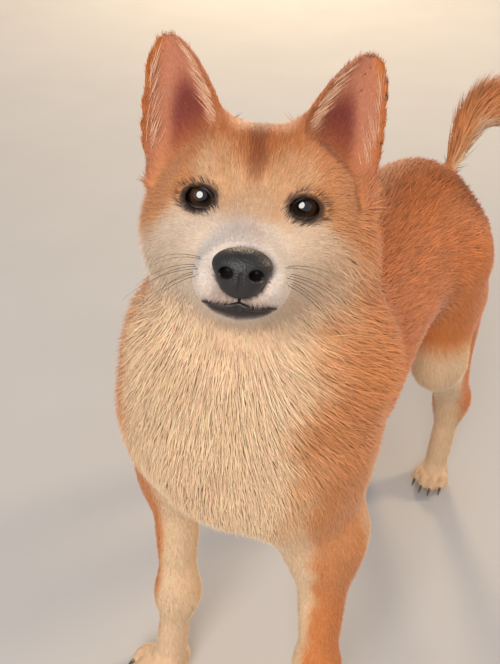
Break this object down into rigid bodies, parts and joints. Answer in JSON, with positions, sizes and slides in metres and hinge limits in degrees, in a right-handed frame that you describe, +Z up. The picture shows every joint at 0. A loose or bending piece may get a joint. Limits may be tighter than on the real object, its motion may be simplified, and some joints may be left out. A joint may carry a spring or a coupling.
{
  "type": "shiba inu",
  "caption": "Still, life-size young shiba inu, standing with its head turned and raised and its tail curled over to one side.",
  "frame": {"origin": "under the middle of the whole animal, on the floor its paws stand on", "axes": "+Z up, -Y the way the body faces, +X the animal's left"},
  "size_m": [0.2086, 0.4426, 0.5182],
  "materials": {
    "coat": "short dense fur",
    "cream": "short dense fur",
    "nose": "damp and finely pebbled",
    "eye": "wet gloss"
  },
  "bodies": {
    "root": {"torso": "coat", "neck": "coat", "head": "coat", "ear_left": "coat", "ear_right": "coat", "eye_left": "eye", "eye_right": "eye", "nose": "nose", "tail_root": "coat", "tail_arch": "coat", "tail_tip": "cream", "leg_front_left": "coat", "paw_front_left": "cream", "leg_front_right": "coat", "paw_front_right": "cream", "leg_hind_left": "coat", "paw_hind_left": "cream", "leg_hind_right": "coat", "paw_hind_right": "cream"}
  },
  "joints": []
}
